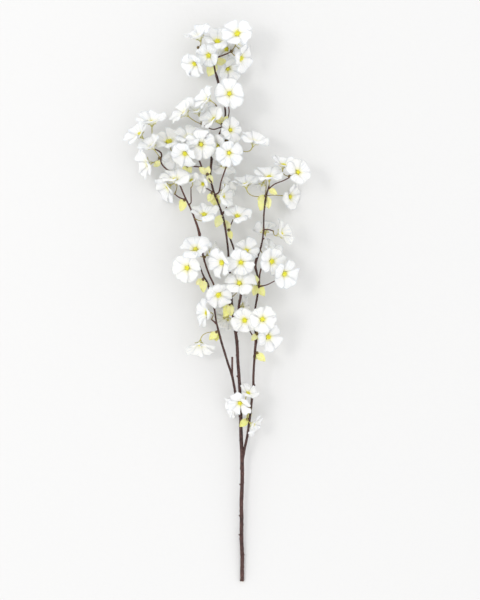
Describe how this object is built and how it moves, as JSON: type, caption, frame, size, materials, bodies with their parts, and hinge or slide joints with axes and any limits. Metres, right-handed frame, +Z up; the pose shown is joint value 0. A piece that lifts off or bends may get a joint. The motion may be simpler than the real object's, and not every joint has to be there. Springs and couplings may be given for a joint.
{
  "type": "peach blossom spray",
  "caption": "Cut branch of white peach blossom with a forked woody stem, clustered five-petalled flowers and small young leaves, made to lie on a surface.",
  "frame": {"origin": "on the surface the spray lies on, under the middle of its bounding box", "axes": "+Z up from the surface; +Y along the branch from the cut end to the topmost flowers; +X to the right, seen from above"},
  "size_m": [0.2995, 0.904, 0.1034],
  "materials": {
    "bark": "matt brown bark with small scars and knots",
    "petals": "soft matt white petals, cream at the throat, with a yellow tuft of stamens",
    "leaves": "soft pale yellow-green young leaf"
  },
  "bodies": {
    "root": {"branch": "bark", "blossoms_01": "petals", "blossoms_02": "petals", "blossoms_03": "petals", "blossoms_04": "petals", "blossoms_05": "petals", "blossoms_06": "petals", "blossoms_07": "petals", "blossoms_08": "petals", "blossoms_09": "petals", "blossoms_10": "petals", "blossoms_11": "petals", "blossoms_12": "petals", "blossoms_13": "petals", "blossoms_14": "petals", "blossoms_15": "petals", "blossoms_16": "petals", "blossoms_17": "petals", "blossoms_18": "petals", "blossoms_19": "petals", "blossoms_20": "petals", "blossoms_21": "petals", "blossoms_22": "petals", "blossoms_23": "petals", "blossoms_24": "petals", "blossoms_25": "petals", "blossoms_26": "petals", "blossoms_27": "petals", "blossoms_28": "petals", "blossoms_29": "petals", "blossoms_30": "petals", "blossoms_31": "petals", "blossoms_32": "petals", "blossoms_33": "petals", "blossoms_34": "petals", "blossoms_35": "petals", "blossoms_36": "petals", "blossoms_37": "petals", "blossoms_38": "petals", "blossoms_39": "petals", "blossoms_40": "petals", "blossoms_41": "petals", "blossoms_42": "petals", "blossoms_43": "petals", "blossoms_44": "petals", "blossoms_45": "petals", "leaves_01": "leaves", "leaves_02": "leaves", "leaves_03": "leaves", "leaves_04": "leaves", "leaves_05": "leaves", "leaves_06": "leaves", "leaves_07": "leaves", "leaves_08": "leaves", "leaves_09": "leaves", "leaves_10": "leaves", "leaves_11": "leaves", "leaves_12": "leaves"}
  },
  "joints": []
}
